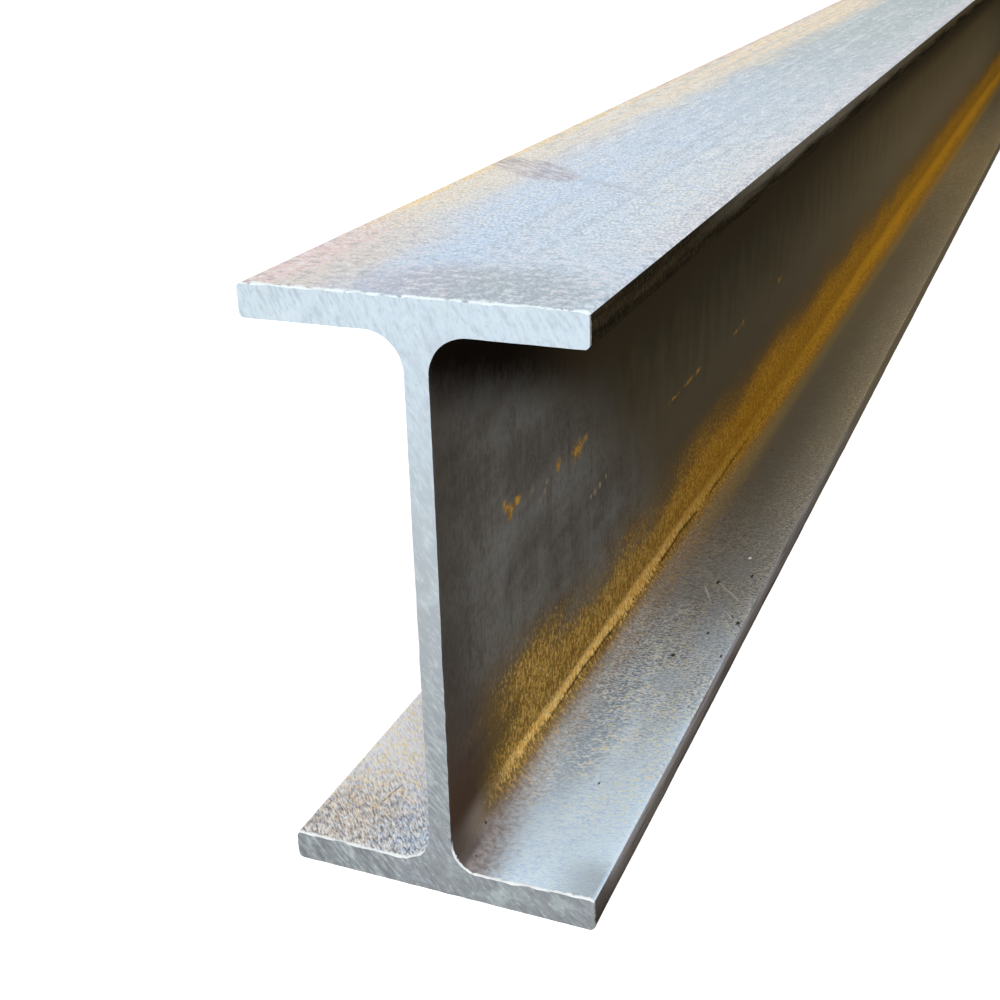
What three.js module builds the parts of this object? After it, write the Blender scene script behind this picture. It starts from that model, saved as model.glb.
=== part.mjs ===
// A hot-rolled steel I-beam with parallel flanges, sawn square at both ends.
// Units are millimetres and +Z is up. The beam stands on its lower flange:
// X runs across the flanges, Y along the beam, and the origin lies on the
// underside, midway along the beam and under the middle of the web.

import * as THREE from "three";

// Driving dimensions: the nominal section IPE 120
const beamLength = 1500;
const sectionHeight = 120;
const flangeWidth = 64;
const webThickness = 4.4;
const flangeThickness = 6.3;
const rootRadius = 7; // fillet where the web runs into a flange
const toeRadius = 1; // rolled corners of each flange's edge

// Straight facets that stand for each quarter circle
const rootFacets = 14;
const toeFacets = 5;

// The material as rolled: dark steel under mill scale, with a matt sheen
const rolledSteel = new THREE.MeshStandardMaterial({
  color: 0x6a6c6e,
  roughness: 0.55,
  metalness: 0.6,
});

// Points on a quarter circle round a centre, from one angle to the next
function quarterArc(centreX, centreZ, radius, startAngle, turn, facets) {
  const points = [];
  for (let i = 0; i <= facets; i++) {
    const angle = startAngle + (turn * i) / facets;
    points.push(
      new THREE.Vector2(
        centreX + radius * Math.cos(angle),
        centreZ + radius * Math.sin(angle),
      ),
    );
  }
  return points;
}

// One quarter of the section, in the corner where x and z are positive, with
// the centre of the section as its zero. It runs from the middle of the web
// up its face, round the root fillet, out along the underside of the flange,
// round both corners of the toe and back to the middle of the top face.
function quarterSection() {
  const webFace = webThickness / 2;
  const top = sectionHeight / 2;
  const underside = top - flangeThickness;
  const toe = flangeWidth / 2;
  const right = Math.PI / 2;
  return [
    ...quarterArc(webFace + rootRadius, underside - rootRadius, rootRadius, Math.PI, -right, rootFacets),
    ...quarterArc(toe - toeRadius, underside + toeRadius, toeRadius, -right, right, toeFacets),
    ...quarterArc(toe - toeRadius, top - toeRadius, toeRadius, 0, right, toeFacets),
  ];
}

// A copy of a run of points, mirrored left to right or top to bottom. The
// order turns round with each mirror, so the outline still goes one way.
function mirrored(points, signX, signZ) {
  return points.map((p) => new THREE.Vector2(p.x * signX, p.y * signZ)).reverse();
}

// The whole outline, once round anticlockwise
function sectionShape() {
  const right = quarterSection();
  const lowerRight = mirrored(right, 1, -1);
  const rightHalf = [...lowerRight, ...right];
  return new THREE.Shape([...rightHalf, ...mirrored(rightHalf, -1, 1)]);
}

// The section drawn along the beam. The extrusion runs along its own +Z, so
// it is turned to run along Y and lifted to stand on its lower flange.
function beamGeometry() {
  const geometry = new THREE.ExtrudeGeometry(sectionShape(), {
    depth: beamLength,
    steps: 1,
    bevelEnabled: false,
  });
  geometry.translate(0, 0, -beamLength / 2);
  geometry.rotateX(Math.PI / 2);
  geometry.translate(0, 0, sectionHeight / 2);
  return geometry;
}

const beam = new THREE.Mesh(beamGeometry(), rolledSteel);
beam.name = "i_beam";

const group = new THREE.Group();
group.add(beam);

export default group;
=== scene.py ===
"""A hot-rolled steel I-beam with a saw-cut end, on a pale floor.

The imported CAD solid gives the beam's box. This script replaces it with one
finely divided mesh of the same section, with uneven toes, and cuts whose
edges have a burr and are broken back. It has seven materials: six for its
scaled and rusty faces, and one for the sawn steel. Lengths are millimetres,
as on a drawing, where nothing else is said. The mesh itself is in metres.
"Depth" is the distance from the nearer end.
"""

import math

import bpy
from mathutils import Matrix, Vector, noise


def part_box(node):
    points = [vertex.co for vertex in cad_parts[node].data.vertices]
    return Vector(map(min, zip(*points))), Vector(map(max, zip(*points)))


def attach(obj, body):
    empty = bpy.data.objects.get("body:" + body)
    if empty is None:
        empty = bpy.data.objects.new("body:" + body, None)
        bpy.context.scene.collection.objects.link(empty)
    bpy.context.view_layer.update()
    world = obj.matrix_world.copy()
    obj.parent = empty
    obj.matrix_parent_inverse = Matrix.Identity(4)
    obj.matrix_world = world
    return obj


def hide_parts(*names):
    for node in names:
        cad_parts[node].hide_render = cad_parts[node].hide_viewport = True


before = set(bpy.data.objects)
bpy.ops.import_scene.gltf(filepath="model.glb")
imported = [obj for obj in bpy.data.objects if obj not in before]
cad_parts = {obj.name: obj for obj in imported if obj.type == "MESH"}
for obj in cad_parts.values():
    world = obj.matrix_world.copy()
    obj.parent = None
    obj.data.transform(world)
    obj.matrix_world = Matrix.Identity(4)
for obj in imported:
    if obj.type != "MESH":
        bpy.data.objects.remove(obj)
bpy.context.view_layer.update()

MM = 0.001
NODE = "i_beam"

# --- The section, in millimetres --------------------------------------------

BOX_LOW, BOX_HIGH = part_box(NODE)
WIDTH = (BOX_HIGH[0] - BOX_LOW[0]) / MM
LENGTH = (BOX_HIGH[1] - BOX_LOW[1]) / MM
HEIGHT = (BOX_HIGH[2] - BOX_LOW[2]) / MM
WEB = 4.8
FLANGE = 6.3
ROOT_RADIUS = 7.0
TIGHT_ROOT_RADIUS = 5.2  # of the lower right root
TOE_RADIUS = 1.0

HALF_LENGTH = LENGTH / 2
HALF_WIDTH = WIDTH / 2
ROOT_TOP = FLANGE + ROOT_RADIUS  # where the lower root fillet meets the web
ROOT_OUT = WEB / 2 + ROOT_RADIUS  # where it meets the flange

# How this beam departs from an even section: the web stands off centre, more
# so at the top, and the lower flange grows thicker towards its right toe
WEB_OFF_LOW = 0.45
WEB_OFF_HIGH = 1.5
TOE_GROWTH = 0.9

# Straight steps in each stretch of a quarter of the section
WEB_STEPS = 14
ROOT_STEPS = 8
INNER_FACE_STEPS = 8
TOE_CORNER_STEPS = 3
TOE_FACE_STEPS = 3
OUTER_FACE_STEPS = 10
END_FINENESS = 3  # the rings at the cuts have this many times more points

WAVE_DEPTH = 0.05  # how uneven the rolled faces are
TOE_WAVE_DEPTH = 0.2  # and how much more the toes
BURR_HEIGHT = 0.3
BURR_REACH = 1.0  # how far from the cut the burr runs out
CHAMFER_LEAST = 0.06
CHAMFER_MORE = 0.4
CHAMFER_REACH = 0.45  # how far from the cut its edge is broken back

# Distances of the rings from the cut, fine ones and then coarse ones
FINE_RINGS = (0.0, 0.2, 0.45, 0.8, 1.4, 2.2, 3.2)
COARSE_START = 5.0
COARSE_STEP = 5.0


# --- The mesh ----------------------------------------------------------------


def line(start, end, normal, steps):
    """Points from start up to, and without, end, each with its normal."""
    points = []
    for i in range(steps):
        t = i / steps
        x = start[0] + (end[0] - start[0]) * t
        z = start[1] + (end[1] - start[1]) * t
        points.append((x, z, *normal))
    return points


def arc(centre, radius, first, turn, steps):
    """Points round an arc without its last one. A negative radius is a hollow
    corner, whose normal points at the centre."""
    points = []
    for i in range(steps):
        angle = first + turn * i / steps
        c, s = math.cos(angle), math.sin(angle)
        side = 1 if radius > 0 else -1
        size = abs(radius)
        points.append((centre[0] + size * c, centre[1] + size * s, side * c, side * s))
    return points


def quarter_section(fineness, radius):
    """The upper right quarter with this root radius, from the middle of the
    web's face round to the middle of the top face. Zero is the centre of the
    section."""
    quarter = math.pi / 2
    web = WEB / 2
    top = HEIGHT / 2
    under = top - FLANGE
    toe = HALF_WIDTH
    root = (web + radius, under - radius)
    low_corner = (toe - TOE_RADIUS, under + TOE_RADIUS)
    high_corner = (toe - TOE_RADIUS, top - TOE_RADIUS)
    n = fineness
    return [
        *line((web, 0), (web, root[1]), (1, 0), WEB_STEPS * n),
        *arc(root, -radius, math.pi, -quarter, ROOT_STEPS * n),
        *line((root[0], under), (low_corner[0], under), (0, -1), INNER_FACE_STEPS * n),
        *arc(low_corner, TOE_RADIUS, -quarter, quarter, TOE_CORNER_STEPS * n),
        *line((toe, low_corner[1]), (toe, high_corner[1]), (1, 0), TOE_FACE_STEPS * n),
        *arc(high_corner, TOE_RADIUS, 0, quarter, TOE_CORNER_STEPS * n),
        *line((high_corner[0], top), (0, top), (0, 1), OUTER_FACE_STEPS * n),
        (0, top, 0, 1),
    ]


def smooth_step(value, low, high):
    t = min(1.0, max(0.0, (value - low) / (high - low)))
    return t * t * (3 - 2 * t)


def as_rolled(x, z):
    """Where a point of the nominal section lies on this beam."""
    web_off = WEB_OFF_LOW + (WEB_OFF_HIGH - WEB_OFF_LOW) * z / HEIGHT
    moved = x + web_off * (1 - smooth_step(abs(x), ROOT_OUT + 1, HALF_WIDTH - 3))
    on_inner_low = smooth_step(z, 0.5, FLANGE - 1) * (1 - smooth_step(z, FLANGE + 0.5, ROOT_TOP))
    grown = z + TOE_GROWTH * on_inner_low * smooth_step(x, ROOT_OUT, HALF_WIDTH)
    return moved, grown


def section(fineness):
    """The closed outline, anticlockwise from the middle of the underside, as
    x, height above the floor, and the normal's two parts."""
    usual = quarter_section(fineness, ROOT_RADIUS)
    tight = quarter_section(fineness, TIGHT_ROOT_RADIUS)
    lower_left = [(-x, -z, -nx, -nz) for x, z, nx, nz in usual]
    upper_left = [(-x, z, -nx, nz) for x, z, nx, nz in reversed(usual)]
    lower_right = [(x, -z, nx, -nz) for x, z, nx, nz in reversed(tight)]
    whole = lower_right[:-1] + usual[:-1] + upper_left[:-1] + lower_left[:-1]
    return [(*as_rolled(x, z + HEIGHT / 2), nx, nz) for x, z, nx, nz in whole]


def waviness(x, y, z, nx):
    """How far the rolled surface lies inside its nominal face. The toes were
    never rolled flat, so they wander more than the wide faces."""
    long_wave = noise.noise(Vector((x * 0.05, y * 0.018, z * 0.05)))
    short_wave = noise.noise(Vector((x * 0.16, y * 0.11, z * 0.16)))
    on_toe = abs(nx) if abs(x) > HALF_WIDTH - 2 * TOE_RADIUS else 0.0
    reach = WAVE_DEPTH + TOE_WAVE_DEPTH * on_toe
    return reach * (0.55 + 0.45 * long_wave + 0.35 * short_wave)


def rim_share(x, z, nz):
    """How much the saw roughened the cut's edge: most along the top face and
    the inner faces of the lower flange, least under the upper flange."""
    if nz > 0.85 and (z < ROOT_TOP or z > HEIGHT - 1.5):
        return 1.0
    if z > HEIGHT / 2:
        return 0.12
    return 0.8 if nz > 0.2 and x < 0 else 0.3


def burr(x, y, z, nz, depth):
    """How far the saw's burr stands out of the rolled surface."""
    if depth >= BURR_REACH:
        return 0.0
    ragged = 0.45 + 0.9 * noise.noise(Vector((x * 0.4, y, z * 0.4)))
    ragged += 0.4 * noise.noise(Vector((x * 1.7, y, z * 1.7)))
    height = BURR_HEIGHT * rim_share(x, z, nz) * max(0.0, ragged)
    return height * (1 - depth / BURR_REACH) ** 2


def chamfer(x, y, z, nz, depth):
    """How far the cut's edge is broken back, in an uneven narrow chamfer."""
    if depth >= CHAMFER_REACH:
        return 0.0
    uneven = 0.6 + 0.8 * noise.noise(Vector((x * 0.3 + 40, y, z * 0.3)))
    uneven += 0.35 * noise.noise(Vector((x * 1.3 + 40, y, z * 1.3)))
    size = CHAMFER_LEAST + CHAMFER_MORE * rim_share(x, z, nz) * max(0.0, uneven)
    return size * (1 - depth / CHAMFER_REACH)


def placed(point, y):
    """The mesh vertex for one outline point at a distance along the beam."""
    x, z, nx, nz = point
    depth = HALF_LENGTH - abs(y)
    out = burr(x, y, z, nz, depth) - chamfer(x, y, z, nz, depth) - waviness(x, y, z, nx)
    px = min(HALF_WIDTH, max(-HALF_WIDTH, x + nx * out))
    pz = min(HEIGHT, max(0.0, z + nz * out))
    return (px * MM, y * MM, pz * MM)


def ring_places():
    """Where the rings lie along the beam, and whether each is a fine one."""
    count = round((LENGTH - 2 * COARSE_START) / COARSE_STEP)
    step = (LENGTH - 2 * COARSE_START) / count
    coarse = [(-HALF_LENGTH + COARSE_START + step * i, False) for i in range(count + 1)]
    near = [(-HALF_LENGTH + d, True) for d in FINE_RINGS]
    far = [(HALF_LENGTH - d, True) for d in reversed(FINE_RINGS)]
    return near + coarse + far


def bridge(first, second):
    """Faces between two rings of vertex numbers, of which one may have
    END_FINENESS times more points than the other."""
    small = min(len(first), len(second))
    a_step, b_step = len(first) // small, len(second) // small
    faces = []
    for k in range(small):
        a = [first[(k * a_step + i) % len(first)] for i in range(a_step + 1)]
        b = [second[(k * b_step + i) % len(second)] for i in range(b_step + 1)]
        faces.append([*reversed(a), *b])
    return faces


# The beam's materials, in the order of its slots
RIGHT_WEB, RIGHT_FLANGE, LEFT_CHANNEL, TOP, FOOT, TOE, CUT = range(7)
SEAM = FLANGE + 3.6  # the height on the lower right root where two of them meet
TOE_EDGE = 0.2  # a toe's own material starts this far in, on its rounded corners


def side_slot(outline, start, end):
    """Which material the side has between two points of the outline."""
    a, b = outline[start % len(outline)], outline[end % len(outline)]
    x, z = (a[0] + b[0]) / 2, (a[1] + b[1]) / 2
    if abs(x) > HALF_WIDTH - TOE_EDGE:
        return TOE
    if z > HEIGHT - TOE_RADIUS:
        return TOP
    if z < TOE_RADIUS:
        return FOOT
    if x < 0:
        return LEFT_CHANNEL
    return RIGHT_FLANGE if z < SEAM else RIGHT_WEB


# The bake's map: the outline runs across it and the beam's length up it, with
# more room for the end that is seen close by. The two cuts stand beside it.
SIDES_SHARE = 0.87
SIDES_MARGIN = 0.003
CUT_LEFT = 0.885
CUT_RIGHT = 0.995
CUT_LOW = 0.01
CUT_HEIGHT = 0.46
FAR_CUT_RISE = 0.5  # the far cut's place on the map is this much higher
NEAR_DENSITY = 1.5


def side_map(around, y):
    """A place on the map for a point a share of the way round the outline."""
    t = (y + HALF_LENGTH) / LENGTH
    up = NEAR_DENSITY * t - (NEAR_DENSITY - 1) * t * t
    across = SIDES_MARGIN + around * (SIDES_SHARE - 2 * SIDES_MARGIN)
    return (across, SIDES_MARGIN + up * (1 - 2 * SIDES_MARGIN))


def cut_map(x, z, far_end):
    """A place on the map for a point of one of the two cuts."""
    u = CUT_LEFT + (x + HALF_WIDTH) / WIDTH * (CUT_RIGHT - CUT_LEFT)
    v = CUT_LOW + z / HEIGHT * CUT_HEIGHT
    return (u, v + FAR_CUT_RISE if far_end else v)


def distances_round(outline):
    """The share of the way round at each point, and 1 at the end."""
    so_far = [0.0]
    for a, b in zip(outline, outline[1:] + outline[:1]):
        so_far.append(so_far[-1] + math.hypot(b[0] - a[0], b[1] - a[1]))
    return [d / so_far[-1] for d in so_far]


def beam_mesh():
    """The beam as one closed mesh, with a material slot for each kind of face."""
    outlines = {True: section(END_FINENESS), False: section(1)}
    shares = {fine: distances_round(o) for fine, o in outlines.items()}
    verts, rings, places = [], [], []
    for y, fine in ring_places():
        start = len(verts)
        verts += [placed(p, y) for p in outlines[fine]]
        rings.append(list(range(start, len(verts))))
        places.append((y, fine))

    faces, maps, slots = [], [], []
    coarse_outline = outlines[False]
    ring_slots = [side_slot(coarse_outline, k, k + 1) for k in range(len(coarse_outline))]
    where = {}  # vertex number to its share of the way round and its y
    for ring, (y, fine) in zip(rings, places):
        for i, v in enumerate(ring):
            where[v] = (shares[fine][i], y)
    for a, b in zip(rings, rings[1:]):
        strip = bridge(a, b)
        per_slot = len(strip) // len(ring_slots)
        slots += [ring_slots[k // per_slot] for k in range(len(strip))]
        for face in strip:
            faces.append(face)
            spots = [where[v] for v in face]
            wraps = max(s for s, _ in spots) - min(s for s, _ in spots) > 0.5
            for share, y in spots:
                maps.append(side_map(1.0 if wraps and share < 0.5 else share, y))
    sides = len(faces)
    near_cut, far_cut = rings[0], list(reversed(rings[-1]))
    for ring, far_end in ((near_cut, False), (far_cut, True)):
        faces.append(ring)
        maps += [cut_map(verts[v][0] / MM, verts[v][2] / MM, far_end) for v in ring]

    mesh = bpy.data.meshes.new("rolled_beam")
    mesh.from_pydata(verts, [], faces)
    layer = mesh.uv_layers.new(name="OFBake")
    layer.data.foreach_set("uv", [c for uv in maps for c in uv])
    mesh.polygons.foreach_set("material_index", slots + [CUT, CUT])
    mesh.polygons.foreach_set("use_smooth", [True] * sides + [False, False])
    cut_edges = set()
    for ring in (near_cut, far_cut):
        cut_edges |= {frozenset((a, b)) for a, b in zip(ring, ring[1:] + ring[:1])}
    sharp = mesh.attributes.new("sharp_edge", "BOOLEAN", "EDGE")
    sharp.data.foreach_set("value", [frozenset(e.vertices) in cut_edges for e in mesh.edges])
    mesh.update()
    return mesh


# --- Small helpers for node trees -------------------------------------------


def srgb(red, green, blue):
    """A colour as seen on a screen, 0 to 255, as Blender's linear colour."""
    def linear(c):
        c /= 255
        return c / 12.92 if c <= 0.04045 else ((c + 0.055) / 1.055) ** 2.4
    return (linear(red), linear(green), linear(blue), 1.0)


class Graph:
    """Writes the nodes of a material or a world as short calls that take and
    give sockets."""

    def __init__(self, owner):
        self.owner = owner
        owner.use_nodes = True
        self.tree = owner.node_tree
        self.tree.nodes.clear()

    def node(self, kind, inputs, **settings):
        """A node, with its settings and its inputs' numbers or links."""
        made = self.tree.nodes.new(kind)
        for key, value in settings.items():
            setattr(made, key, value)
        for key, value in inputs.items():
            if isinstance(value, bpy.types.NodeSocket):
                self.tree.links.new(value, made.inputs[key])
            else:
                made.inputs[key].default_value = value
        return made

    def math(self, operation, *values):
        inputs = dict(enumerate(values))
        return self.node("ShaderNodeMath", inputs, operation=operation).outputs[0]

    def vector_math(self, operation, inputs):
        return self.node("ShaderNodeVectorMath", inputs, operation=operation)

    def add(self, *values):
        total = values[0]
        for value in values[1:]:
            total = self.math("ADD", total, value)
        return total

    def times(self, *values):
        total = values[0]
        for value in values[1:]:
            total = self.math("MULTIPLY", total, value)
        return total

    def less(self, a, b):
        return self.math("SUBTRACT", a, b)

    def strongest(self, a, b):
        return self.math("MAXIMUM", a, b)

    def swing(self, noise, size):
        """A noise as a shift to both sides, this large in all."""
        return self.times(self.less(noise, 0.5), size)

    def vector(self, x, y, z):
        return self.node("ShaderNodeCombineXYZ", {"X": x, "Y": y, "Z": z}).outputs[0]

    def ramp(self, value, low, high):
        """0 below low, 1 above high, and smooth between. Swapped, it falls."""
        falls = low > high
        inputs = {"Value": value, "From Min": min(low, high), "From Max": max(low, high)}
        inputs |= {"To Min": 1.0, "To Max": 0.0} if falls else {"To Min": 0.0, "To Max": 1.0}
        made = self.node("ShaderNodeMapRange", inputs, interpolation_type="SMOOTHSTEP")
        return made.outputs["Result"]

    def mix(self, share, a, b):
        """From one colour to another. A colour is a socket or an srgb triple.
        The node's colour sockets are 6 and 7."""
        a, b = (srgb(*c) if isinstance(c, tuple) else c for c in (a, b))
        inputs = {"Factor": share, 6: a, 7: b}
        return self.node("ShaderNodeMix", inputs, data_type="RGBA").outputs[2]

    def over(self, base, tone, *shares):
        """The base colour with a tone over it, as strong as the product of
        the shares."""
        return self.mix(self.times(*shares), base, tone)

    def lay(self, base, tone, pattern, low, high, *shares):
        """The same where the pattern has gone from its low to its high value."""
        return self.over(base, tone, self.ramp(pattern, low, high), *shares)

    def blend(self, share, a, b):
        """From one plain number to another. Their sockets are 2 and 3."""
        inputs = {"Factor": share, 2: a, 3: b}
        return self.node("ShaderNodeMix", inputs, data_type="FLOAT").outputs[0]

    def turned(self, place, angle, centre=(0.0, 0.0, 0.0)):
        """The place turned about Z by an angle in radians."""
        inputs = {"Vector": place, "Center": centre, "Angle": angle}
        return self.node("ShaderNodeVectorRotate", inputs, rotation_type="Z_AXIS").outputs[0]

    def drawing_place(self):
        """The object's own coordinates in millimetres: x, y and z."""
        coords = self.node("ShaderNodeTexCoord", {}).outputs["Object"]
        self.place = self.vector_math("SCALE", {0: coords, "Scale": 1 / MM}).outputs[0]
        return self.node("ShaderNodeSeparateXYZ", {0: self.place}).outputs

    def stretched(self, along_x, along_y, along_z, turn=0.0):
        """The place, turned if the pattern slants, in units of the pattern
        per millimetre."""
        place = self.turned(self.place, turn) if turn else self.place
        return self.vector_math("MULTIPLY", {0: place, 1: (along_x, along_y, along_z)}).outputs[0]

    def noise(self, place, detail=2.0, rough=0.5):
        inputs = {"Vector": place, "Scale": 1.0, "Detail": detail, "Roughness": rough}
        return self.node("ShaderNodeTexNoise", inputs).outputs["Fac"]

    def grained(self, *stretch, detail=2.0, rough=0.5):
        """Noise over the steel, stretched."""
        return self.noise(self.stretched(*stretch), detail, rough)

    def cells(self, place):
        """Distance to the nearest of many scattered points, 0 to about 1."""
        inputs = {"Vector": place, "Scale": 1.0}
        return self.node("ShaderNodeTexVoronoi", inputs).outputs["Distance"]

    def depth(self, y):
        """The distance from the nearer end."""
        return self.less(HALF_LENGTH, self.math("ABSOLUTE", y))

    def patch(self, flat, centre, size, soft):
        """1 in an ellipse on a wide face, 0 outside it, fading at its rim. The
        sizes are half of its width and height."""
        across = (1 / size[0], 1 / size[1], 0.0)
        shift = (-centre[0] * across[0], -centre[1] * across[1], 0.0)
        scaled = self.vector_math("MULTIPLY_ADD", {0: flat, 1: across, 2: shift}).outputs[0]
        reach = self.vector_math("LENGTH", {0: scaled}).outputs["Value"]
        return self.ramp(reach, 1.0 + soft, 1.0 - soft)

    def stroke(self, flat, start, end, half_width):
        """1 on a thin mark between two points of a wide face, 0 off it."""
        run = (end[0] - start[0], end[1] - start[1])
        centre = ((start[0] + end[0]) / 2, (start[1] + end[1]) / 2, 0.0)
        level = self.turned(flat, -math.atan2(run[1], run[0]), centre)
        return self.patch(level, centre, (math.hypot(*run) / 2, half_width), 0.6)

    def seen_directly(self):
        """1 for camera, mirror and see-through rays, 0 for light that bounces."""
        rays = self.node("ShaderNodeLightPath", {}).outputs
        mirrored = self.strongest(rays["Is Camera Ray"], rays["Is Glossy Ray"])
        return self.strongest(mirrored, rays["Is Transmission Ray"])

    def finish(self, colour, roughness, bump_height, bump_strength, metallic, specular):
        inputs = {"Height": bump_height, "Strength": bump_strength, "Distance": MM}
        bump = self.node("ShaderNodeBump", inputs).outputs[0]
        inputs = {"Base Color": colour, "Roughness": roughness, "Metallic": metallic}
        inputs |= {"Specular IOR Level": specular, "Normal": bump}
        shader = self.node("ShaderNodeBsdfPrincipled", inputs).outputs[0]
        self.node("ShaderNodeOutputMaterial", {"Surface": shader})
        return self.owner


def material_graph(name):
    return Graph(bpy.data.materials.new(name))


# --- The camera, and the marks placed by the pixel that shows them --------------

NEAR_END = -HALF_LENGTH  # the cut that the camera looks at
CAMERA_FROM_CUT = (0.10222, -0.19672, 0.18121)  # metres, from the cut's foot
LOOK_YAW = 23.745  # degrees to the left of the beam's length
LOOK_DOWN = 23.839  # degrees
CAMERA_ROLL = 2.096  # degrees, clockwise as the camera was held
LENS = 50.68
SENSOR_WIDTH = 36.0
PICTURE_SIZE = 1000  # pixels each way


def camera_turn():
    upright = Matrix.Rotation(math.radians(LOOK_YAW), 4, "Z")
    level = Matrix.Rotation(math.radians(90 - LOOK_DOWN), 4, "X")
    return upright @ level @ Matrix.Rotation(math.radians(-CAMERA_ROLL), 4, "Z")


def shown_on(pixel, point, normal):
    """Where a pixel of the picture shows the plane through a point with this
    normal: x, the distance from the near cut, and the height."""
    middle = PICTURE_SIZE / 2
    focal = LENS / SENSOR_WIDTH * PICTURE_SIZE
    ray = camera_turn().to_3x3() @ Vector((pixel[0] - middle, middle - pixel[1], -focal))
    start = Vector(CAMERA_FROM_CUT) / MM
    return start + ray * ((Vector(point) - start).dot(normal) / ray.dot(normal))


def web_place(pixel):
    """A mark's distance from the near cut and its height, on the web's right
    face, which leans a little."""
    lean = (WEB_OFF_HIGH - WEB_OFF_LOW) / HEIGHT
    place = shown_on(pixel, (WEB / 2 + WEB_OFF_LOW, 0, 0), Vector((1, 0, -lean)))
    return place.y, place.z


def flange_place(pixel):
    """A mark's x and its distance from the near cut, on the lower flange,
    which is thicker towards its right toe."""
    height = FLANGE
    for _ in range(4):
        place = shown_on(pixel, (0, 0, height), Vector((0, 0, 1)))
        height = FLANGE + TOE_GROWTH * smooth_step(place.x, ROOT_OUT, HALF_WIDTH)
    return place.x, place.y


# Spots on the web: the pixel of the middle, half the length and half the
# height in millimetres, and how strong
RUST_SPOTS = {
    "fork, left arm": ((504, 505), (1.0, 1.1), 0.75),
    "fork, stem": ((510, 513), (1.3, 1.7), 1.0),
    "fork, left joint": ((507, 510), (1.2, 0.9), 0.9),
    "fork, right joint": ((513, 507), (1.3, 0.9), 1.0),
    "fork, right arm": ((517, 501), (2.3, 0.9), 1.0),
    "blot, first drop": ((558, 465), (1.8, 1.6), 0.7),
    "blot": ((577, 451), (3.3, 2.3), 0.95),
    "blot, tip": ((585, 439), (2.4, 0.9), 0.6),
    "long streak, foot": ((675, 397), (7.0, 0.5), 0.5),
    "long streak, middle": ((689, 381), (5.0, 0.7), 0.55),
    "long streak, tip": ((698, 371), (5.0, 0.8), 0.55),
    "far pair, low": ((737, 331), (5.0, 0.9), 0.5),
    "far pair, high": ((743, 323), (4.0, 1.0), 0.5),
    "farthest": ((780, 279), (3.5, 1.2), 0.65),
}
PALE_SPOTS = {
    "patch by the fork": ((532, 490), (2.0, 1.0), 0.5),
    "arc, low": ((540, 500), (0.9, 0.9), 0.8),
    "arc, middle": ((545, 491), (0.7, 0.8), 0.7),
    "arc, top": ((547, 481), (0.8, 0.6), 0.9),
    "dotted line, foot": ((591, 497), (0.6, 0.5), 0.9),
    "dotted line, second": ((595, 491), (1.3, 1.0), 0.9),
    "dotted line, third": ((600, 485), (0.9, 0.8), 0.9),
    "dotted line, tip": ((606, 476), (0.6, 0.6), 0.8),
}

# Pits in the lower flange: the pixel of the middle, and half of each size
PITS = {
    "by the rust": ((673, 655), (0.6, 0.8)),
    "lowest by the toe": ((721, 656), (0.25, 0.7)),
    "middle": ((708, 633), (0.3, 0.7)),
    "by the toe": ((738, 623), (0.5, 0.9)),
    "at the long scratch": ((718, 582), (0.4, 0.9)),
    "farthest": ((752, 576), (0.3, 1.0)),
    "by the cut": ((599, 783), (0.2, 0.5)),
}

# Thin marks on the lower flange, by the pixels of their two ends
SCRATCHES = {
    "long": ((718, 582), (745, 606)),
    "short": ((705, 586), (710, 600)),
    "beside the crack": ((724, 610), (735, 621)),
}
CRACKS = {
    "right": ((731, 615), (734, 619)),
}
LEFT_CRACKS = {
    "long, foot": ((382, 802), (387, 798)),
    "long, middle": ((387, 798), (392, 793)),
    "long, top": ((392, 793), (402, 785)),
    "by the cut": ((405, 855), (411, 846)),
}
BARE_DOT = (750, 558)  # a fleck of bare steel on the right
BARE_DOT_SIZE = (0.4, 0.6)

# Patches on the wide faces: the middle's x and distance from the near cut, and
# half of each size
CREAM_PATCH = ((24, 110), (9, 60))
STAIN = ((9, 8), (21, 14))
SCUFF = ((-19.5, 92.5), (14.0, 8.4))  # measured along its slant
SCUFF_TAIL = ((4, 94), (11, 2.0))
SCUFF_SLANT = 0.68  # how far it runs back for each millimetre of x
HOLLOW = ((12.5, 56), (5, 28))  # duller steel on the lower flange

SAW_CENTRE = (247.0, 231.0)  # x and height about which the saw strokes swing
SAW_RADIUS = 300.0  # about how far the cut is from there


# --- The materials ------------------------------------------------------------


def sawn_rim(g, colour, depth, raggedness, share, bare_and_highlight=(246, 250, 251)):
    """The surface's colour with bright bare steel where the saw broke its edge,
    painted near white as a highlight where that edge catches light.
    """
    width = g.add(g.times(raggedness, 1.5), -0.25)
    amount = g.times(g.ramp(g.less(depth, width), 0.15, -0.1), share)
    # Bare steel at the broken edge, and a painted highlight on it.
    return g.mix(amount, colour, bare_and_highlight)


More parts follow.
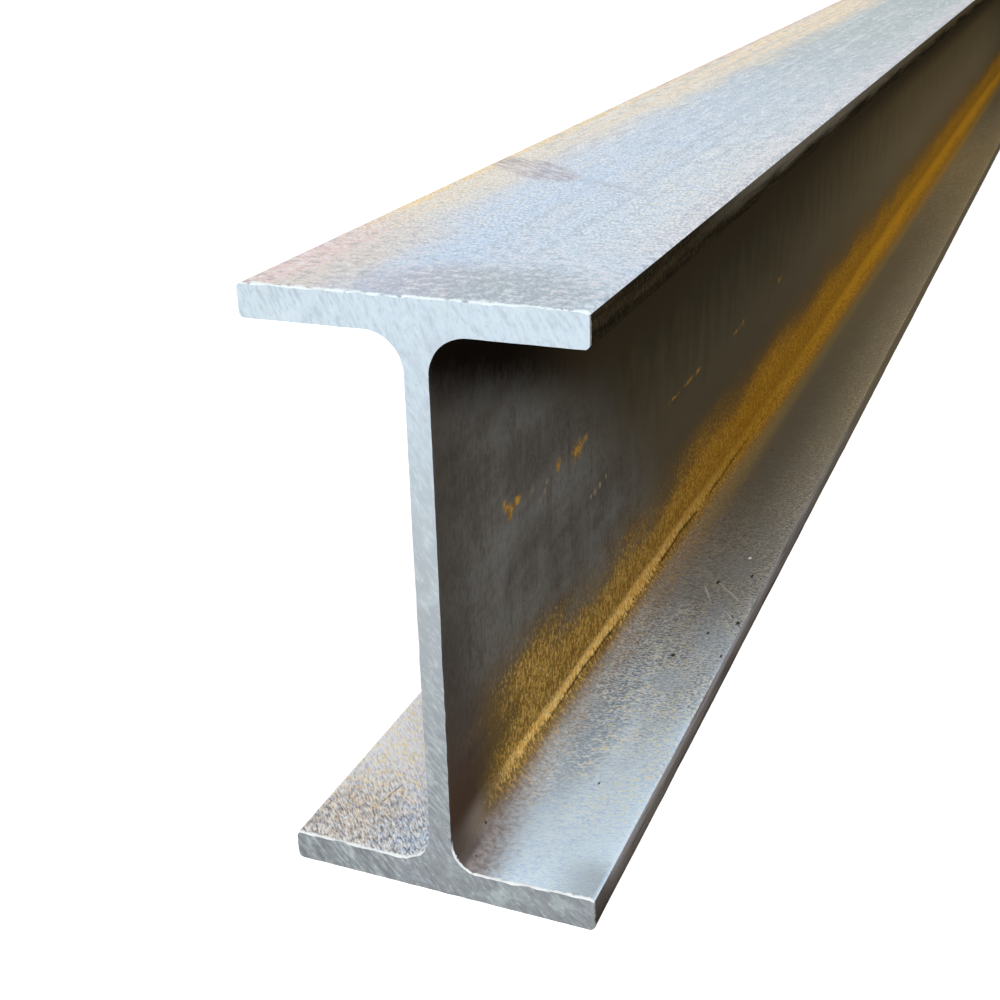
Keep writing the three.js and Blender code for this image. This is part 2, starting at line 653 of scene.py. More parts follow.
def outer_scale():
    """The pale upper face: blue grey scale, pale partly by a painted sheen, straw
    and pink heat tints along its left edge, a painted highlight along its right
    edge, a darker stain behind the near cut, and a scuff mark."""
    g = material_graph("outer_scale")
    x, y, _ = g.drawing_place()
    depth = g.depth(y)
    from_near = g.less(y, NEAR_END)
    cloud = g.grained(0.085, 0.03, 0.085, detail=3.0, rough=0.55)
    flecks = g.grained(0.42, 0.46, 1.0, detail=3.0, rough=0.65)
    sand = g.grained(1.7, 1.1, 1.0, rough=0.75)
    streaks = g.grained(0.2, 0.8, 1.0, -0.15, detail=3.0, rough=0.65)
    ridges = g.grained(0.55, 0.09, 1.0, 0.06, detail=3.0, rough=0.65)
    rolled = g.grained(0.3, 0.004, 1.0, rough=0.6)
    far = g.ramp(from_near, 90, 420)
    near_cut = g.ramp(from_near, 60, 10)
    spread = g.swing(cloud, 20.0)
    across = g.add(x, spread, g.times(far, -5.0))

    # The pale blue grey is partly the scale's own colour and partly a painted sheen of the light
    # from above.
    blue = g.mix(g.ramp(across, -8, 24), (189, 211, 236), (196, 213, 229))
    colour = g.mix(far, blue, (160, 176, 176))
    colour = g.lay(colour, (206, 215, 220), cloud, 0.5, 0.66, 0.4)
    straw = g.ramp(across, -10, -25)
    straw_tint = g.mix(far, (231, 217, 192), (255, 226, 174))
    colour = g.over(colour, straw_tint, straw, 0.9)
    pink = g.times(g.ramp(across, -4, -20), g.ramp(from_near, 70, 25))
    rose = g.mix(g.ramp(g.add(x, spread), -19, -27), (209, 201, 194), (222, 196, 194))
    colour = g.over(colour, rose, pink, 0.85)
    gold_reach = g.add(x, g.swing(ridges, 9.0))
    gold = g.times(g.ramp(gold_reach, -27.5, -31.0), g.ramp(from_near, 30, 75))
    gold_tint = g.mix(g.ramp(from_near, 170, 280), (250, 212, 128), (220, 186, 158))
    colour = g.over(colour, gold_tint, gold, g.ramp(flecks, 0.34, 0.5))
    # Painted highlight along the right edge, a faint pink white.
    highlight_reach = g.add(x, g.times(flecks, 8.0))
    right_edge_highlight = g.times(g.ramp(highlight_reach, 26, 34), g.ramp(from_near, 20, 60))
    colour = g.over(colour, (222, 215, 219), right_edge_highlight, 0.6)
    flat = g.vector(x, from_near, 0.0)
    cream = g.patch(flat, *CREAM_PATCH, 0.6)
    colour = g.over(colour, (240, 236, 208), cream, g.ramp(streaks, 0.48, 0.58), 0.6)

    along = g.less(1.0, near_cut)
    colour = g.lay(colour, (214, 222, 226), rolled, 0.54, 0.64, along, 0.35)
    colour = g.lay(colour, (158, 172, 184), rolled, 0.46, 0.36, along, 0.4)
    to_right = g.times(g.blend(g.ramp(x, -10, 15), 0.1, 0.45), g.blend(near_cut, 1.0, 0.3))
    colour = g.lay(colour, (228, 234, 237), streaks, 0.55, 0.68, to_right)
    colour = g.lay(colour, (160, 174, 188), streaks, 0.46, 0.34, to_right)
    stain_x = g.add(x, g.swing(flecks, 22.0))
    stain_y = g.add(from_near, g.swing(cloud, 30.0))
    stain = g.patch(g.vector(stain_x, stain_y, 0.0), *STAIN, 0.45)
    violet = g.mix(g.ramp(x, -2, 10), (174, 175, 188), (156, 170, 177))
    colour = g.over(colour, violet, stain, 0.85)

    ridged = g.times(g.ramp(from_near, 60, 160), 0.55)
    colour = g.lay(colour, (232, 240, 244), ridges, 0.53, 0.64, ridged)
    colour = g.lay(colour, (152, 168, 182), ridges, 0.47, 0.36, ridged)
    blots = g.mix(g.ramp(cloud, 0.45, 0.55), (226, 230, 234), (222, 212, 220))
    fleck_share = g.blend(near_cut, 0.42, 0.65)
    colour = g.lay(colour, (156, 162, 174), flecks, 0.5, 0.36, fleck_share)
    colour = g.lay(colour, blots, flecks, 0.5, 0.64, fleck_share)
    strength = g.times(g.blend(near_cut, 0.78, 0.4), g.blend(far, 1.0, 0.6))
    sand_dark = g.mix(straw, (146, 160, 178), (186, 172, 158))
    colour = g.lay(colour, sand_dark, sand, 0.48, 0.36, strength)
    colour = g.lay(colour, (240, 245, 247), sand, 0.52, 0.64, strength)

    slanted = g.vector(x, g.add(from_near, g.times(x, SCUFF_SLANT)), 0.0)
    scuff = g.patch(slanted, *SCUFF, 0.15)
    strokes = g.grained(0.12, 1.6, 1.0, 0.6, rough=0.75)
    colour = g.over(colour, (204, 197, 204), scuff, 0.3)
    colour = g.over(colour, (132, 120, 127), scuff, g.ramp(strokes, 0.48, 0.57), 0.7)
    tail = g.patch(slanted, *SCUFF_TAIL, 0.6)
    colour = g.over(colour, (146, 150, 164), tail, g.ramp(strokes, 0.42, 0.58), 0.5)

    broken = g.add(g.swing(flecks, 4.0), 0.62)
    colour = sawn_rim(g, colour, depth, broken, 0.9, (232, 243, 246))
    rough = g.add(0.42, g.times(sand, 0.2))
    relief = g.add(g.times(sand, 0.07), g.times(flecks, 0.07))
    return g.finish(colour, rough, relief, 0.9, 0.1, 0.3)


def rust_share(g, x, z, depth, cloud, grain):
    """Where rust lies in the right channel: a band low on the web and dust
    on the flange beside it. Gives the share of loose golden grains, that of
    the brown film under them, and how the rust fades out towards the cut."""
    far = g.ramp(depth, 150, 330)
    wander = g.swing(cloud, g.blend(far, 22.0, 12.0))
    near_rise = g.times(g.ramp(depth, 70, 30), -7.0)
    band = g.ramp(g.add(z, wander, near_rise), 41, 20)
    reach = g.add(x, g.swing(grain, 6.0), g.blend(far, 2.4, 0.0))
    on_flange = g.times(g.ramp(reach, WEB - 0.5, WEB + 4.5), g.ramp(z, 16, 12))
    dust = g.times(g.ramp(x, WEB + 12.0, WEB + 3.0), g.blend(far, 0.64, 0.2))
    fade = g.ramp(g.add(depth, g.swing(cloud, 60.0)), 6, 38)
    film_start = g.ramp(g.add(depth, g.swing(cloud, 30.0)), 9, 24)
    share = g.blend(on_flange, band, dust)
    amount = g.times(share, fade)
    grains = g.ramp(g.add(amount, g.swing(grain, 3.6)), 0.5, 1.2)
    film = g.times(share, film_start, g.blend(on_flange, 1.0, 0.12))
    return g.times(grains, amount), film, fade


def rust_line(g, x, z, depth, cloud, grain, tone):
    """The bright line of thick rust along the lower root, and the hairline
    crack below it. It covers the whole root farther along."""
    far = g.ramp(depth, 60, 330)
    farther = g.ramp(depth, 320, 560)
    centre = g.add(g.blend(far, 11.6, 10.4), g.swing(cloud, 3.0), farther)
    width = g.add(g.blend(far, 3.4, 3.6), g.times(farther, 2.6))
    uneven = g.add(z, g.swing(tone, 3.0))
    off_line = g.math("DIVIDE", g.math("ABSOLUTE", g.less(uneven, centre)), width)
    on_root = g.ramp(g.less(x, g.times(farther, 2.6)), WEB + 3.6, WEB + 1.6)
    line = g.ramp(off_line, 1.0, 0.1)
    line = g.ramp(g.add(line, g.swing(grain, 2.6)), 0.25, 1.0)
    line = g.times(line, g.ramp(off_line, 1.5, 0.9), on_root)
    line = g.times(line, g.ramp(g.add(depth, g.times(cloud, 20.0)), 26, 50))
    below = g.math("ABSOLUTE", g.less(z, g.add(centre, -2.0)))
    reach = g.times(g.ramp(depth, 30, 70), g.ramp(depth, 260, 180))
    crack = g.times(g.ramp(below, 0.45, 0.15), g.ramp(cloud, 0.42, 0.5), reach, on_root)
    return line, crack


def rusted(g, x, z, depth, cloud, grain, tone, colour):
    """The colour under the lower right root's rust, and the rust's share."""
    rust, film, fade = rust_share(g, x, z, depth, cloud, grain)
    far = g.ramp(depth, 60, 240)
    speck = g.ramp(tone, 0.35, 0.65)
    near_gold = g.mix(speck, (140, 104, 40), (210, 168, 86))
    far_gold = g.mix(speck, (168, 116, 26), (204, 150, 48))
    brown = g.mix(far, (102, 82, 46), (116, 84, 32))
    colour = g.over(colour, brown, film, 0.85)
    colour = g.over(colour, g.mix(far, near_gold, far_gold), rust, 0.9)
    line, crack = rust_line(g, x, z, depth, cloud, grain, tone)
    bright_gold = g.mix(speck, (232, 176, 82), (255, 220, 142))
    deep_gold = g.mix(speck, (160, 116, 32), (190, 144, 52))
    far_line = g.mix(g.ramp(depth, 240, 520), deep_gold, (206, 150, 42))
    colour = g.over(colour, g.mix(far, bright_gold, far_line), line, fade, 0.95)
    return g.over(colour, (44, 34, 26), crack, 0.7), rust


def corner_brown(g, depth):
    """The scale in the lower right root, on both sides of the seam: dark by
    the cut, then dusty, and brown farther along."""
    dusty = g.mix(g.ramp(depth, 2, 15), (88, 77, 70), (140, 126, 114))
    dusty = g.mix(g.ramp(depth, 24, 42), dusty, (160, 142, 118))
    brown = g.mix(g.ramp(depth, 40, 160), (64, 48, 38), (84, 66, 34))
    return g.mix(g.ramp(depth, 50, 90), dusty, brown)


def spotted(g, flat, spots, ragged):
    """How strong the spots of one table are, with ragged rims."""
    total = 0.0
    for pixel, size, strength in spots.values():
        one = g.patch(flat, web_place(pixel), size, 0.95)
        total = g.strongest(total, g.times(one, strength))
    edge = g.ramp(total, 0.0, 0.3)
    return g.times(edge, g.ramp(g.add(total, g.swing(ragged, 1.3)), 0.2, 0.9))


def right_web_scale():
    """The web, the roots and the upper flange's inner face on the right:
    charcoal scale, brown and olive farther along, darker olive high up that is
    partly painted shade, a painted black shadow under the upper flange, brown
    behind the near cut, and rust low down and in spots."""
    g = material_graph("right_web_scale")
    x, y, z = g.drawing_place()
    depth = g.depth(y)
    from_near = g.less(y, NEAR_END)
    cloud = g.grained(0.07, 0.022, 0.07, detail=3.0, rough=0.6)
    grain = g.grained(1.7, 1.7, 1.2, rough=0.75)
    tone = g.grained(0.9, 0.9, 0.5, rough=0.6)
    drips = g.grained(0.25, 0.16, 0.05, detail=3.0, rough=0.65)

    colour = g.mix(g.ramp(cloud, 0.34, 0.64), (86, 81, 75), (108, 106, 101))
    colour = g.lay(colour, (66, 58, 54), tone, 0.55, 0.35, 0.3)
    colour = g.lay(colour, (112, 113, 112), drips, 0.5, 0.66, 0.25)
    colour = g.lay(colour, (62, 53, 48), drips, 0.46, 0.34, 0.3)
    colour = g.lay(colour, (130, 124, 116), grain, 0.52, 0.75, 0.35)
    by_cut = g.ramp(g.add(depth, g.times(tone, 10.0)), 32, 6)
    colour = g.over(colour, (62, 57, 52), by_cut, 0.65)
    farther = g.ramp(depth, 200, 620)
    low_olive = g.mix(farther, (80, 71, 54), (110, 96, 70))
    # High up the olive is darker: partly the scale's own brown, partly painted shade under the
    # upper flange.
    high_olive_and_shade = g.mix(farther, (54, 47, 32), (90, 76, 50))
    olive = g.mix(g.ramp(g.add(z, g.swing(drips, 30.0)), 44, 84), low_olive, high_olive_and_shade)
    olive_reach = g.add(depth, g.times(z, 1.2), g.swing(cloud, 40.0))
    colour = g.lay(colour, olive, olive_reach, 138, 192, 0.94)
    # Painted shadow of the upper flange over the top of the web: black by the near cut and dark
    # olive farther along, its lower edge slanting down away from the cut.
    slanted = g.add(z, g.times(g.math("MINIMUM", depth, 75.0), 0.3))
    flange_shadow_reach = g.add(slanted, g.swing(tone, 6.0), g.swing(drips, 6.0))
    shade = g.mix(g.ramp(depth, 30, 90), (20, 14, 8), (58, 49, 36))
    colour = g.lay(colour, shade, flange_shadow_reach, 97, 110, 0.97)
    corner = g.times(g.ramp(g.add(depth, g.times(tone, 20.0)), 58, 18), g.ramp(z, 56, 14))
    colour = g.over(colour, (72, 53, 40), corner, 0.85)
    colour = g.mix(g.ramp(z, SEAM + 7.0, SEAM + 1.0), colour, corner_brown(g, depth))
    colour, rust = rusted(g, x, z, depth, cloud, grain, tone, colour)

    ragged = g.grained(0.5, 0.4, 0.4, detail=4.0, rough=0.8)
    flat = g.vector(from_near, z, 0.0)
    ochre = g.mix(g.ramp(ragged, 0.42, 0.6), (118, 92, 46), (192, 142, 52))
    cream = g.mix(g.ramp(ragged, 0.42, 0.6), (112, 101, 84), (146, 132, 108))
    for table, tint in ((RUST_SPOTS, ochre), (PALE_SPOTS, cream)):
        colour = g.over(colour, tint, spotted(g, flat, table, ragged), 0.85)

    colour = sawn_rim(g, colour, depth, tone, g.ramp(z, ROOT_TOP, FLANGE + 4.0))
    rough = g.blend(rust, g.add(0.55, g.times(grain, 0.2)), 0.9)
    relief = g.add(g.times(grain, 0.08), g.times(tone, 0.05))
    return g.finish(colour, rough, relief, 1.0, 0.0, 0.0)


def pitted(g, flat):
    """Where the lower flange has pits: the largest ones, and scattered ones."""
    scattered = g.cells(g.stretched(0.11, 0.07, 0.11))
    pits = g.times(g.ramp(scattered, 0.045, 0.02), 0.8)
    for pixel, size in PITS.values():
        pits = g.strongest(pits, g.patch(flat, flange_place(pixel), size, 0.5))
    return pits


def marked(g, flat, marks, half_width):
    """Where the thin marks of one table lie."""
    total = 0.0
    for start, end in marks.values():
        one = g.stroke(flat, flange_place(start), flange_place(end), half_width)
        total = g.strongest(total, one)
    return total


def right_flange_scale():
    """The lower flange on the right: leathery steel, with a painted light blue
    glare by the near cut, then mottled grey, then brown grey, and mauve beside the root."""
    g = material_graph("right_flange_scale")
    x, y, z = g.drawing_place()
    depth = g.depth(y)
    from_near = g.less(y, NEAR_END)
    cloud = g.grained(0.07, 0.022, 0.07, detail=3.0, rough=0.6)
    tone = g.grained(0.9, 0.9, 0.5, rough=0.6)
    dust = g.grained(1.7, 1.7, 1.2, rough=0.75)
    grain = g.grained(1.3, 1.9, 1.0, -0.29, rough=0.7)
    dashes = g.grained(0.6, 1.3, 1.0, -0.29, detail=3.0, rough=0.7)
    patchy = g.grained(0.09, 0.06, 0.1)

    # Painted glare: near the cut the flange is painted paler and light blue, as if lit from the
    # front. The base, dark, pale and tan tones get these lighter copies, which fade out about 130
    # mm along.
    glare_depth = g.add(depth, g.swing(cloud, 90.0), g.times(x, -0.9))
    painted_glare_fade = g.ramp(glare_depth, 130, 20)
    painted_glare_core = g.ramp(glare_depth, 75, -10)
    brown_end = g.ramp(depth, 110, 300)
    brown = g.mix(g.ramp(depth, 420, 800), (140, 128, 104), (146, 126, 84))
    grey = g.mix(brown_end, (134, 133, 130), brown)
    base = g.mix(painted_glare_fade, grey, (192, 205, 217))
    base = g.mix(painted_glare_core, base, (222, 242, 255))
    flat = g.vector(g.add(x, g.swing(tone, 5.0)), from_near, 0.0)
    hollow = g.patch(flat, *HOLLOW, 0.6)
    base = g.over(base, (148, 166, 182), hollow, 0.75)
    dark = g.mix(brown_end, (88, 85, 82), (106, 94, 74))
    dark = g.mix(painted_glare_fade, dark, (112, 118, 126))
    dark = g.mix(painted_glare_core, dark, (184, 208, 246))
    pale = g.mix(brown_end, (176, 173, 165), (164, 152, 124))
    pale = g.mix(painted_glare_fade, pale, (242, 248, 252))
    tan = g.mix(painted_glare_fade, (172, 158, 124), (242, 230, 184))
    contrast = g.times(g.blend(g.ramp(patchy, 0.4, 0.6), 0.5, 1.0), g.blend(painted_glare_core, 1.0, 0.45))
    colour = g.lay(base, dark, grain, 0.5, 0.36, contrast, 0.9)
    colour = g.lay(colour, pale, grain, 0.51, 0.62, contrast, 0.95)
    colour = g.lay(colour, dark, dashes, 0.47, 0.34, 0.45)
    colour = g.lay(colour, pale, dashes, 0.56, 0.66, 0.4)
    tan_zone = g.times(g.ramp(depth, 14, 44), g.ramp(x, 8, 16), g.ramp(patchy, 0.38, 0.52))
    colour = g.lay(colour, tan, dashes, 0.54, 0.6, tan_zone, 0.65)
    dull = g.times(g.ramp(g.add(x, g.swing(tone, 6.0)), 33, 14), g.ramp(depth, 90, 210))
    dull_tone = g.mix(g.ramp(depth, 260, 430), (94, 88, 74), (110, 100, 76))
    colour = g.over(colour, dull_tone, dull, g.ramp(depth, 760, 440), 0.85)
    flat = g.vector(x, from_near, 0.0)
    scratches = marked(g, flat, SCRATCHES, 0.25)
    colour = g.over(colour, (196, 192, 184), scratches, 0.6)
    cracks = marked(g, flat, CRACKS, 0.2)
    colour = g.over(colour, (58, 54, 52), cracks, 0.8)

    narrowing = g.times(g.ramp(depth, 0, 55), 7.0)
    beside_root = g.add(x, g.swing(tone, 4.0), narrowing)
    by_cut = g.ramp(depth, 70, 20)
    far_mauve = g.mix(g.ramp(dust, 0.4, 0.6), (104, 98, 90), (156, 150, 138))
    near_mauve = g.mix(g.ramp(tone, 0.3, 0.7), (128, 116, 112), (158, 148, 146))
    mauve = g.mix(by_cut, far_mauve, near_mauve)
    colour = g.lay(colour, mauve, beside_root, WEB + 11.0, WEB + 1.5, 0.95)
    by_edge = g.times(g.ramp(depth, 15, 6), g.ramp(z, FLANGE + 0.3, FLANGE + 1.4))
    colour = g.over(colour, (92, 83, 79), by_edge, 0.9)
    strip = g.times(g.ramp(x, WEB + 6.0, WEB + 2.6), g.ramp(depth, 130, 250))
    strip_tone = g.mix(g.ramp(depth, 330, 800), (130, 114, 76), (172, 134, 66))
    colour = g.over(colour, strip_tone, strip, 0.92)
    colour = g.mix(g.ramp(z, FLANGE + 1.2, SEAM - 0.6), colour, corner_brown(g, depth))
    colour, rust = rusted(g, x, z, depth, cloud, dust, tone, colour)
    pits = pitted(g, flat)
    colour = g.over(colour, (26, 23, 22), pits, 0.92)
    bare = g.patch(flat, flange_place(BARE_DOT), BARE_DOT_SIZE, 0.4)
    colour = g.mix(bare, colour, (255, 255, 255))

    colour = sawn_rim(g, colour, depth, tone, 1.0)
    rough = g.blend(rust, g.add(0.4, g.times(grain, 0.2)), 0.9)
    relief = g.add(g.times(grain, 0.2), g.times(dashes, 0.12), g.times(pits, -0.2))
    return g.finish(colour, rough, relief, 1.0, 0.0, 0.0)


def left_channel_scale():
    """Web, roots and inner flange faces on the left: the lower flange has a
    coarse slanting grain in straw, blue, brown grey and white."""
    g = material_graph("left_channel_scale")
    x, y, z = g.drawing_place()
    depth = g.depth(y)
    from_near = g.less(y, NEAR_END)
    cloud = g.grained(0.07, 0.022, 0.07, detail=3.0, rough=0.6)
    grain = g.grained(2.3, 0.6, 1.0, -0.7, detail=3.0, rough=0.65)
    hue = g.grained(1.1, 0.5, 1.0, -0.7, rough=0.75)

    web = g.mix(g.ramp(cloud, 0.34, 0.68), (72, 67, 61), (92, 89, 85))
    web = g.lay(web, (122, 112, 98), grain, 0.52, 0.72, 0.4)
    # Painted shade under the upper flange: the web darkens towards its top.
    web = g.lay(web, (40, 33, 26), z, 90, 112, 0.6)
    height = g.add(z, g.swing(cloud, 40.0))
    band = g.ramp(g.add(g.ramp(height, 34, 12), g.times(grain, 0.8)), 0.8, 1.2)
    web = g.over(web, (132, 96, 36), band, 0.8)

    near = g.ramp(depth, 360, 110)
    by_cut = g.ramp(g.add(depth, g.swing(cloud, 20.0)), 34, 6)
    at_cut = g.mix(g.ramp(x, -22, -8), (214, 202, 190), (204, 214, 226))
    middle = g.mix(near, (140, 134, 124), g.mix(by_cut, (255, 254, 255), at_cut))
    near_dark = g.mix(by_cut, (226, 222, 228), (112, 110, 114))
    dark = g.mix(near, (96, 90, 84), near_dark)
    pale = g.mix(near, (178, 172, 162), (255, 255, 254))
    near_straw = g.mix(by_cut, (255, 240, 190), (250, 222, 178))
    straw = g.mix(near, (156, 136, 104), near_straw)
    near_blue = g.mix(by_cut, (220, 232, 255), (178, 200, 230))
    blue = g.mix(near, (124, 128, 136), near_blue)
    to_toe = g.times(g.ramp(x, -10, -22), g.ramp(depth, 2, 22))
    to_root = g.ramp(x, -22, -8)
    straw_share = g.times(g.ramp(hue, 0.5, 0.6), g.blend(to_toe, 0.15, 0.85))
    blue_share = g.times(g.ramp(hue, 0.52, 0.42), g.blend(to_root, 0.35, 0.9))
    flange = g.mix(straw_share, g.mix(blue_share, middle, blue), straw)
    flange = g.lay(flange, dark, grain, 0.48, 0.37, 0.85)
    flange = g.lay(flange, pale, grain, 0.52, 0.6, 0.9)
    cracks = marked(g, g.vector(x, from_near, 0.0), LEFT_CRACKS, 0.2)
    flange = g.over(flange, (84, 68, 64), cracks, 0.7)
    on_flange = g.ramp(z, FLANGE + 6.0, FLANGE + 3.0)
    colour = g.mix(on_flange, web, flange)

    low_share = g.ramp(z, ROOT_TOP, FLANGE + 4.0)
    colour = sawn_rim(g, colour, depth, hue, low_share)
    rough = g.add(0.4, g.times(grain, 0.25))
    relief = g.add(g.times(grain, 0.4), g.times(hue, 0.1), g.times(cloud, 0.12))
    return g.finish(colour, rough, relief, 1.0, 0.0, 0.4)


def toe_scale():
    """The flanges' narrow edges: brown black scale. The upper flange's are
    darker, and the lower flange's have a worn, paler upper corner."""
    g = material_graph("toe_scale")
    _, y, z = g.drawing_place()
    depth = g.depth(y)
    streak = g.grained(0.5, 0.03, 0.5, detail=3.0, rough=0.65)
    grain = g.grained(1.2, 1.2, 1.2, rough=0.65)
    uneven = g.add(z, g.swing(streak, 4.0))
    low = g.mix(g.ramp(uneven, 0.5, 3.5), (78, 71, 66), (118, 111, 106))
    low = g.mix(g.ramp(uneven, 4.0, 6.4), low, (154, 151, 153))
    low = g.lay(low, (74, 66, 60), streak, 0.5, 0.36, 0.5)
    low = g.lay(low, (64, 59, 53), depth, 16, 3, 0.8)
    low = g.mix(g.ramp(depth, 120, 360), low, (112, 101, 80))
    high = g.mix(g.ramp(streak, 0.35, 0.68), (30, 25, 15), (50, 43, 29))
    worn = g.times(g.ramp(uneven, HEIGHT - 4.5, HEIGHT - 1.5), g.ramp(depth, 50, 130))
    worn_tone = g.mix(g.ramp(depth, 200, 420), (106, 99, 86), (88, 76, 56))
    high = g.over(high, worn_tone, worn, 0.85)
    colour = g.mix(g.ramp(z, 20, 100), low, high)
    colour = g.lay(colour, (112, 102, 92), grain, 0.5, 0.65, 0.1)
    colour = g.lay(colour, (30, 24, 20), grain, 0.5, 0.35, 0.2)
    colour = sawn_rim(g, colour, depth, grain, 0.3)
    rough = g.add(0.5, g.times(grain, 0.25))
    relief = g.add(g.times(grain, 0.08), g.times(streak, 0.12))
    return g.finish(colour, rough, relief, 0.9, 0.0, 0.0)


def foot_scale():
    """The underside that it stands on: grey scale scraped by sliding."""
    g = material_graph("foot_scale")
    _, y, _ = g.drawing_place()
    depth = g.depth(y)
    cloud = g.grained(0.06, 0.02, 0.06, detail=3.0, rough=0.6)
    scrapes = g.grained(0.9, 0.025, 1.0, 0.05, detail=3.0, rough=0.7)
    grain = g.grained(1.4, 1.4, 1.4, rough=0.65)
    colour = g.mix(g.ramp(cloud, 0.38, 0.64), (86, 82, 77), (118, 116, 112))
    colour = g.lay(colour, (176, 180, 184), scrapes, 0.55, 0.72, 0.7)
    rusty = g.times(g.ramp(cloud, 0.6, 0.72), g.ramp(grain, 0.4, 0.6))
    colour = g.mix(rusty, colour, (128, 92, 46))
    colour = g.lay(colour, (58, 54, 50), grain, 0.5, 0.32, 0.5)
    colour = sawn_rim(g, colour, depth, cloud, 0.6)
    rough = g.add(0.45, g.times(grain, 0.25))
    relief = g.add(g.times(grain, 0.06), g.times(scrapes, 0.05), g.times(cloud, 0.1))
    return g.finish(colour, rough, relief, 0.9, 0.0, 0.3)


def sawn_steel():
    """The cuts: pale bare steel with a painted reflection, lighter at the top and
    darker towards the floor, faintly clouded, with the saw's slanting strokes and small nicks."""
    g = material_graph("sawn_steel")
    x, _, z = g.drawing_place()
    from_centre_x = g.less(x, SAW_CENTRE[0])
    from_centre_z = g.less(z, SAW_CENTRE[1])
    squares = g.add(g.times(from_centre_x, from_centre_x), g.times(from_centre_z, from_centre_z))
    radius = g.math("SQRT", squares)
    angle = g.math("ARCTAN2", from_centre_z, g.times(from_centre_x, -1.0))
    along = g.times(angle, SAW_RADIUS)
    strokes = g.noise(g.vector(g.times(radius, 0.9), g.times(along, 0.2), 0.0), rough=0.7)
    nicks = g.noise(g.vector(g.times(radius, 1.7), g.times(along, 0.6), 5.0), rough=0.6)
    cloud = g.grained(0.13, 0.0, 0.13, detail=3.0, rough=0.6)

    # Painted reflection: the cut is lighter at the top and darker towards the floor, and its saw
    # marks have darker copies low down.
    height = g.add(z, g.swing(cloud, 30.0))
    painted_dark_low = g.ramp(height, 80, 10)
    colour = g.mix(g.ramp(height, -30, 75), (127, 133, 137), (169, 176, 180))
    colour = g.mix(g.ramp(height, 55, 122), colour, (203, 220, 232))
    low_left = g.times(g.ramp(x, -8, -22), g.ramp(z, 30, 8))
    colour = g.over(colour, (118, 123, 124), low_left, 0.3)
    colour = g.lay(colour, (200, 214, 215), cloud, 0.52, 0.66, 0.3)
    colour = g.lay(colour, (182, 188, 204), cloud, 0.46, 0.34, 0.3)
    to_left = g.blend(g.ramp(x, -4, -14), g.blend(g.ramp(z, 12, 4), 0.32, 0.19), 0.48)
    bright_mark = g.mix(painted_dark_low, (222, 234, 240), (206, 216, 218))
    dark_mark = g.mix(painted_dark_low, (176, 188, 198), (104, 108, 116))
    colour = g.lay(colour, bright_mark, strokes, 0.5, 0.64, to_left, 0.75)
    colour = g.lay(colour, dark_mark, strokes, 0.49, 0.36, to_left, 1.15)
    colour = g.lay(colour, (232, 240, 242), nicks, 0.56, 0.7, 0.24)
    colour = g.lay(colour, dark_mark, nicks, 0.46, 0.32, 0.45)
    rough = g.blend(strokes, 0.36, 0.56)
    relief = g.add(g.times(strokes, 0.08), g.times(cloud, 0.1), g.times(nicks, 0.04))
    return g.finish(colour, rough, relief, 0.7, 0.2, 0.3)


def make_beam():
    beam = bpy.data.objects.new("rolled_beam", beam_mesh())
    bpy.context.scene.collection.objects.link(beam)
    materials = {
        RIGHT_WEB: right_web_scale(),
        RIGHT_FLANGE: right_flange_scale(),
        LEFT_CHANNEL: left_channel_scale(),
        TOP: outer_scale(),
        FOOT: foot_scale(),
        TOE: toe_scale(),
        CUT: sawn_steel(),
    }
    for slot in sorted(materials):
        beam.data.materials.append(materials[slot])
    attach(beam, "root")
    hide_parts(NODE)


# --- Floor, light and camera --------------------------------------------------

FLOOR_SIZE = 60.0  # metres
FLOOR_COLOUR = (0.86, 0.86, 0.86, 1.0)
# Added for the camera so that the bare floor reads as white: less by the beam,
# where the softboxes help and its shadow falls, and more farther off
FLOOR_LIFT_NEAR = 0.6
FLOOR_LIFT_FAR = 0.8
LIFT_START = 1.4  # metres from the middle of the beam
LIFT_END = 3.2
WORLD_LIGHT = 0.25
# Each softbox's place, aim and size in metres, and its watts
SOFTBOXES = {
    "front": ((0.5, -2.75, 2.1), (0.0, -0.75, 0.06), 1.5, 50.0),
    "right": ((1.5, -0.5, 1.9), (0.0, -0.2, 0.06), 2.0, 17.0),
    "left": ((-1.6, -0.8, 1.5), (0.0, -0.4, 0.06), 1.8, 14.0),
}


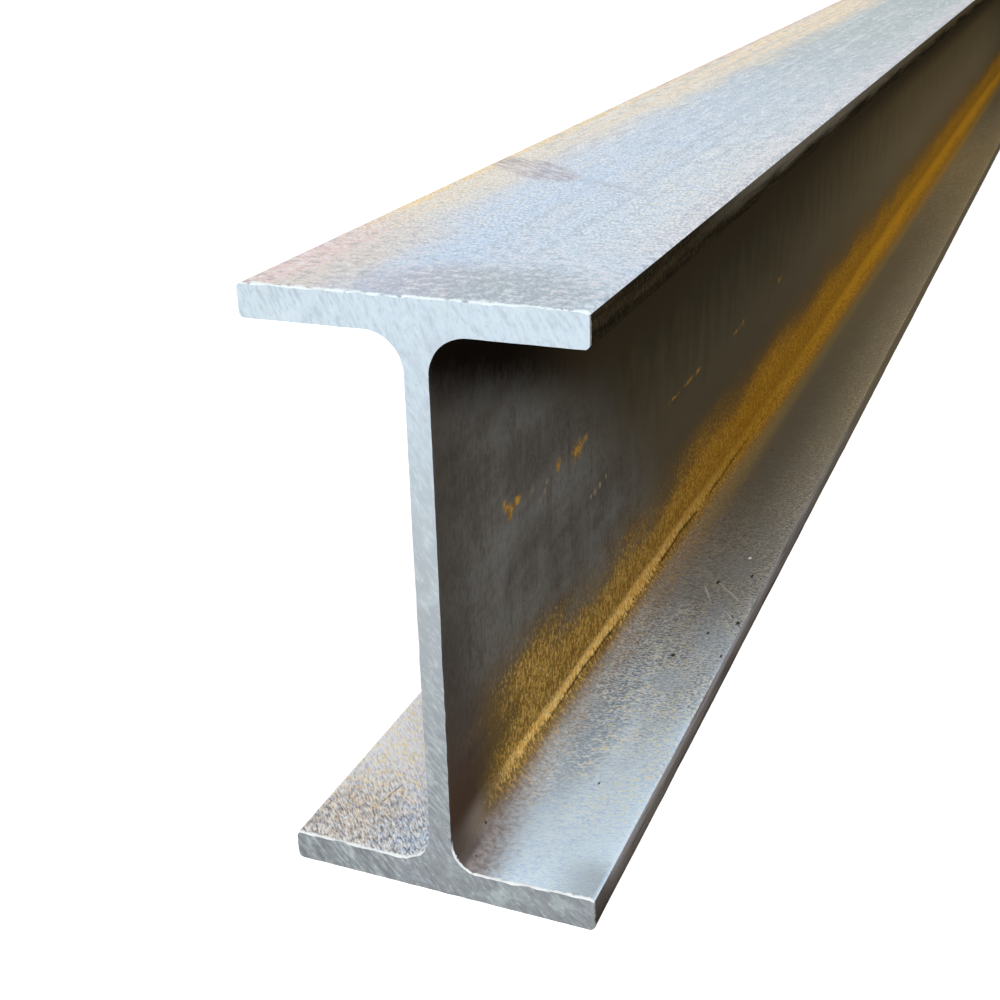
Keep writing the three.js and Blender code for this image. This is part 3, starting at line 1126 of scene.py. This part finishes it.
def make_floor():
    half = FLOOR_SIZE / 2
    mesh = bpy.data.meshes.new("floor")
    corners = [(-half, -half, 0), (half, -half, 0), (half, half, 0), (-half, half, 0)]
    mesh.from_pydata(corners, [], [(0, 1, 2, 3)])
    floor = bpy.data.objects.new("floor", mesh)
    bpy.context.scene.collection.objects.link(floor)
    g = material_graph("pale_floor")
    coords = g.node("ShaderNodeTexCoord", {}).outputs["Object"]
    reach = g.vector_math("LENGTH", {0: coords}).outputs["Value"]
    inputs = {"Value": reach, "From Min": LIFT_START, "From Max": LIFT_END}
    inputs |= {"To Min": FLOOR_LIFT_NEAR, "To Max": FLOOR_LIFT_FAR}
    amount = g.node("ShaderNodeMapRange", inputs).outputs["Result"]
    strength = g.times(g.seen_directly(), amount)
    lift = g.node("ShaderNodeEmission", {"Strength": strength}).outputs[0]
    matt = g.node("ShaderNodeBsdfDiffuse", {"Color": FLOOR_COLOUR}).outputs[0]
    both = g.node("ShaderNodeAddShader", {0: matt, 1: lift}).outputs[0]
    g.node("ShaderNodeOutputMaterial", {"Surface": both})
    mesh.materials.append(g.owner)


def make_world():
    """A white studio: white where it is seen, and a soft light elsewhere."""
    world = bpy.data.worlds.new("studio")
    bpy.context.scene.world = world
    g = Graph(world)
    strength = g.blend(g.seen_directly(), WORLD_LIGHT, 1.0)
    white = {"Color": (1.0, 1.0, 1.0, 1.0), "Strength": strength}
    background = g.node("ShaderNodeBackground", white).outputs[0]
    g.node("ShaderNodeOutputWorld", {"Surface": background})


def softbox(name, place, target, size, watts):
    lamp = bpy.data.lights.new(name, "AREA")
    lamp.shape = "SQUARE"
    lamp.size = size
    lamp.energy = watts
    holder = bpy.data.objects.new(name, lamp)
    bpy.context.scene.collection.objects.link(holder)
    holder.location = place
    aim = Vector(target) - Vector(place)
    holder.rotation_euler = aim.to_track_quat("-Z", "Y").to_euler()


def make_camera():
    data = bpy.data.cameras.new("camera")
    data.lens = LENS
    data.sensor_width = SENSOR_WIDTH
    data.clip_start = 0.01
    data.clip_end = 200.0
    camera = bpy.data.objects.new("camera", data)
    bpy.context.scene.collection.objects.link(camera)
    place = Vector((0.0, NEAR_END * MM, 0.0)) + Vector(CAMERA_FROM_CUT)
    camera.matrix_world = Matrix.Translation(place) @ camera_turn()
    bpy.context.scene.camera = camera


make_beam()
make_floor()
make_world()
for side, values in SOFTBOXES.items():
    softbox(side, *values)
make_camera()
bpy.context.scene.view_settings.view_transform = "Standard"
